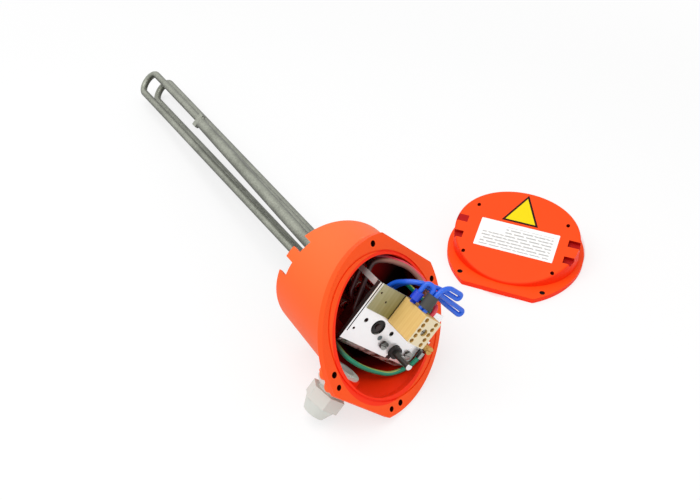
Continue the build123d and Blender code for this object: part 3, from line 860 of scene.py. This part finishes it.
def sticker(name, outline, material):
    """A thin plate on the cover's top.

    Its points are the outline across and up the top, once at the clearance above the top and once a
    thickness higher. Both outlines are faces, and four-cornered faces join them. UV runs from 0 to 1 over the
    outline's own width and height."""
    cover = bpy.context.scene.heater_cover
    place, axes = cover_frame(cover.slope)
    outline = np.array(outline, float)
    n = len(outline)
    lifts = np.repeat((cover.clearance, cover.clearance + cover.thickness), n)
    points = place + np.column_stack([np.tile(outline, (2, 1)), lifts]) @ np.array(axes)
    here = np.arange(n)
    walls = np.column_stack([here, np.roll(here, -1), np.roll(here, -1) + n, here + n])
    mesh = bpy.data.meshes.new(name)
    mesh.from_pydata(points.tolist(), [], [here[::-1].tolist(), (here + n).tolist(), *walls.tolist()])
    flat = (outline - outline.min(0)) / np.ptp(outline, axis=0)
    index = np.zeros(len(mesh.loops), dtype=np.int32)
    mesh.loops.foreach_get("vertex_index", index)
    mesh.uv_layers.new(name="UVMap").data.foreach_set("uv", flat[index % n].ravel())
    mesh.materials.append(material)
    mesh.update()
    obj = bpy.data.objects.new(name, mesh)
    bpy.context.scene.collection.objects.link(obj)
    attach(obj, "heater")


# Studio.


def add_floor(scene, studio):
    """A matt white floor. As seen it is partly plain white, and wholly so far from the object.

    The patch under the cover isn't whitened. It lies within two arcs, where (|x| + offset) squared plus y
    squared is below the radius squared."""
    shader = Shader("floor")
    matt = shader.node("ShaderNodeBsdfDiffuse", None, {"Color": (0.93, 0.93, 0.93, 1.0)})
    white = shader.node("ShaderNodeEmission", None, {"Color": WHITE, "Strength": 1.0})
    across, along, _ = shader.local(*cover_frame())
    arc = abs(across) + PATCH_ARC_X
    behind = along - PATCH_BEHIND
    uncovered = arc * arc + behind * behind > PATCH_ARC_R * PATCH_ARC_R
    east, north, _ = shader.split("Object")
    far = (east * east + north * north).ramp(studio.white_from**2, studio.white_to**2)
    factor = shader.seen() * (far * (1.0 - studio.whiten) + studio.whiten) * uncovered
    corners = [(x * FLOOR_HALF, y * FLOOR_HALF, 0.0) for x, y in ((-1, -1), (1, -1), (1, 1), (-1, 1))]
    mesh = bpy.data.meshes.new("floor")
    mesh.from_pydata(corners, [], [(0, 1, 2, 3)])
    mesh.materials.append(shader.blend_shaders(factor, matt, white, "ShaderNodeOutputMaterial"))
    floor = bpy.data.objects.new("floor", mesh)
    scene.collection.objects.link(floor)


def add_surroundings(scene, studio):
    """White surroundings: plain white as seen, weaker as light."""
    world = Shader("surroundings", bpy.data.worlds.new("surroundings"))
    scene.world = world.owner
    lit = world.node("ShaderNodeBackground", None, {"Color": WHITE, "Strength": studio.sky})
    seen = world.node("ShaderNodeBackground", None, {"Color": WHITE, "Strength": 1.0})
    world.blend_shaders(world.seen(), lit, seen, "ShaderNodeOutputWorld")


def add_light(scene, name, place, size, watts, target):
    """A square soft light that is tipped up from straight down and turned until it points at the target."""
    light = bpy.data.lights.new(name, "AREA")
    light.energy = watts
    light.size = size
    way = target - np.array(place)
    tip = math.atan2(math.hypot(way[0], way[1]), -way[2])
    obj = bpy.data.objects.new(name, light)
    obj.location = place
    obj.rotation_euler = (tip, 0.0, math.atan2(way[1], way[0]) - math.pi / 2)
    scene.collection.objects.link(obj)


def add_camera(scene, studio, target):
    """The camera: it looks at the target from the front, at the set elevation and distance."""
    camera = bpy.data.cameras.new("camera")
    camera.sensor_width = 36.0
    camera.lens = studio.lens
    camera.clip_start = 0.01
    back = np.array((0.0, -math.cos(studio.elevation), math.sin(studio.elevation))) * studio.distance
    view = bpy.data.objects.new("camera", camera)
    view.location = (target + back).tolist()
    view.rotation_euler = (math.pi / 2 - studio.elevation, 0.0, 0.0)
    scene.collection.objects.link(view)
    scene.camera = view


# Operators.


class HEATER_OT_materials(bpy.types.Operator):
    """Gives every CAD node its procedural material"""

    bl_idname = "heater.materials"
    bl_label = "Materials"

    def execute(self, context):
        for finish, names in FINISHES:
            material = finish(finish.__name__, context.scene.heater_tints)
            for name in names:
                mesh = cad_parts[name].data
                mesh.materials.clear()
                mesh.materials.append(material)
                mesh.polygons.foreach_set("material_index", np.zeros(len(mesh.polygons), dtype=np.int32))
        return {"FINISHED"}


class HEATER_OT_label(bpy.types.Operator):
    """Puts the white label on the cover"""

    bl_idname = "heater.label"
    bl_label = "Label"

    def execute(self, context):
        cover = context.scene.heater_cover
        outline = rounded(cover.label_at, cover.label_size, cover.label_corner)
        sticker("cover_label", outline, label_print("label_print", context.scene.heater_tints))
        return {"FINISHED"}


class HEATER_OT_triangle(bpy.types.Operator):
    """Puts the plain yellow triangle on the cover"""

    bl_idname = "heater.triangle"
    bl_label = "Triangle"

    def execute(self, context):
        cover = context.scene.heater_cover
        x, w = cover.triangle_at
        foot, height = cover.triangle_size
        outline = [(x - foot / 2, w), (x + foot / 2, w), (x, w + height)]
        sticker("cover_triangle", outline, triangle_print("triangle_print", context.scene.heater_tints))
        return {"FINISHED"}


class HEATER_OT_studio(bpy.types.Operator):
    """Builds the floor, the surroundings, the lights and the camera"""

    bl_idname = "heater.studio"
    bl_label = "Studio"

    def execute(self, context):
        scene = context.scene
        studio = scene.heater_studio
        target = np.array(SHIFT) * MM
        add_floor(scene, studio)
        add_surroundings(scene, studio)
        add_light(scene, "key", *KEY_LIGHT, studio.key, target)
        add_light(scene, "fill", *FILL_LIGHT, studio.fill, target)
        add_camera(scene, studio, target)
        scene.view_settings.view_transform = "Standard"
        return {"FINISHED"}


class HEATER_PT_panel(bpy.types.Panel):
    """Buttons and settings"""

    bl_idname = "HEATER_PT_panel"
    bl_label = "Immersion heater"
    bl_space_type = "VIEW_3D"
    bl_region_type = "UI"
    bl_category = "Heater"

    def draw(self, context):
        layout = self.layout
        scene = context.scene
        for name in ("materials", "label", "triangle", "studio"):
            layout.operator("heater." + name)
        for group in (scene.heater_tints, scene.heater_cover, scene.heater_studio):
            for key in group.bl_rna.properties.keys():
                if key not in ("rna_type", "name"):
                    layout.prop(group, key)


CLASSES = (
    TintSettings,
    CoverSettings,
    StudioSettings,
    HEATER_OT_materials,
    HEATER_OT_label,
    HEATER_OT_triangle,
    HEATER_OT_studio,
    HEATER_PT_panel,
)


def register():
    """Registers the classes and gives each scene the settings."""
    for cls in CLASSES:
        bpy.utils.register_class(cls)
    bpy.types.Scene.heater_tints = PointerProperty(type=TintSettings)
    bpy.types.Scene.heater_cover = PointerProperty(type=CoverSettings)
    bpy.types.Scene.heater_studio = PointerProperty(type=StudioSettings)


def unregister():
    """Takes the settings and the classes out again."""
    del bpy.types.Scene.heater_studio
    del bpy.types.Scene.heater_cover
    del bpy.types.Scene.heater_tints
    for cls in reversed(CLASSES):
        bpy.utils.unregister_class(cls)


def main():
    register()
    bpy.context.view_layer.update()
    bpy.ops.heater.materials()
    bpy.ops.heater.label()
    bpy.ops.heater.triangle()
    bpy.ops.heater.studio()


if __name__ == "__main__":
    main()
